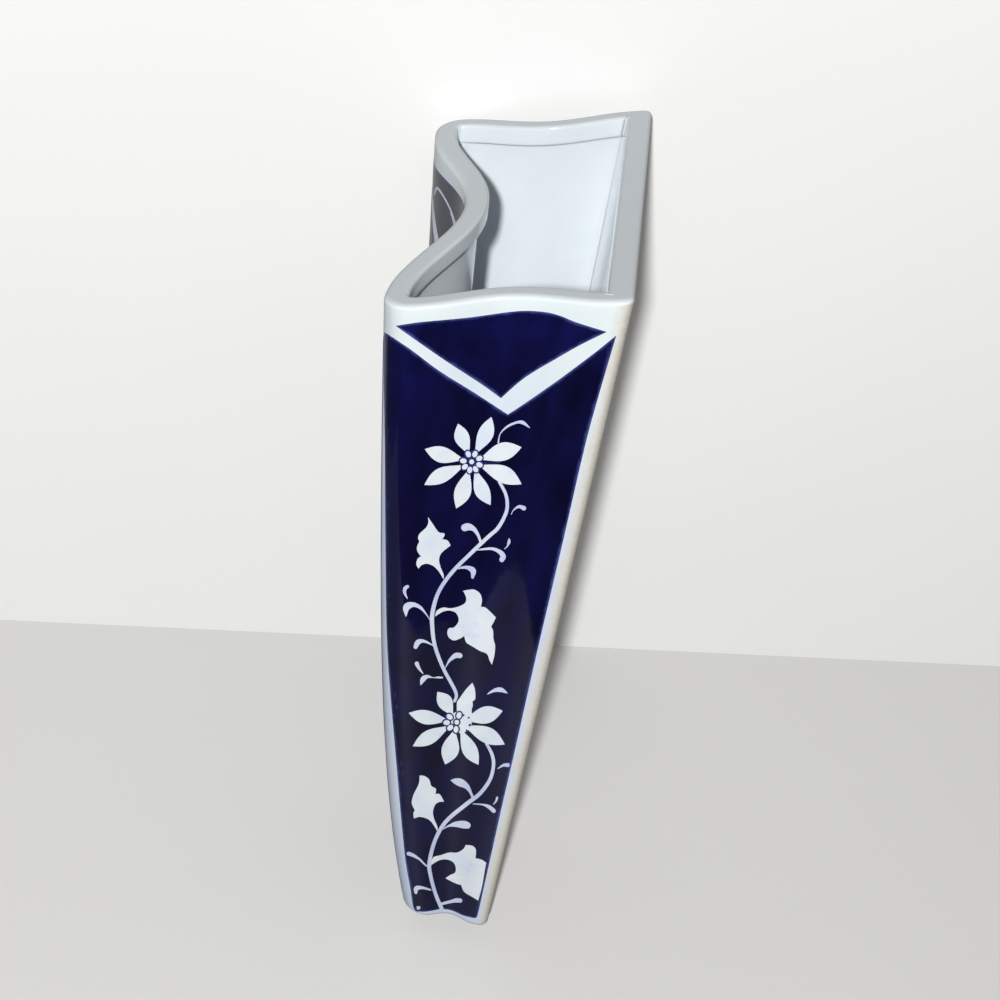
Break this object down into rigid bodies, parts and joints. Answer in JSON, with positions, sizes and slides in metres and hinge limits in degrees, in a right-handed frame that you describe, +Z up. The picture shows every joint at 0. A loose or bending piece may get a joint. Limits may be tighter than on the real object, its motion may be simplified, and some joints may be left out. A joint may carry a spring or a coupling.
{
  "type": "hanging wall vase",
  "caption": "Slab-built porcelain wall pocket vase with a flat back, a hanging hole, a pressed-in front and tapering sides in blue and white.",
  "frame": {"origin": "mouth of the hanging hole on the flat back face", "axes": "+Z up along the back, +Y out of the back into the wall it hangs on, +X along that wall"},
  "size_m": [0.1048, 0.0535, 0.2247],
  "materials": {
    "white_glaze": "gloss",
    "painted_glaze": "gloss",
    "rim_glaze": "gloss"
  },
  "bodies": {
    "root": {"back_wall": "white_glaze", "front_wall": "painted_glaze", "left_wall": "painted_glaze", "right_wall": "painted_glaze", "base": "white_glaze", "rim_strip_back": "rim_glaze", "rim_strip_front": "rim_glaze", "rim_strip_left": "rim_glaze", "rim_strip_right": "rim_glaze", "coil_back_left": "white_glaze", "coil_back_right": "white_glaze", "coil_front_left": "white_glaze", "coil_front_right": "white_glaze"}
  },
  "joints": []
}
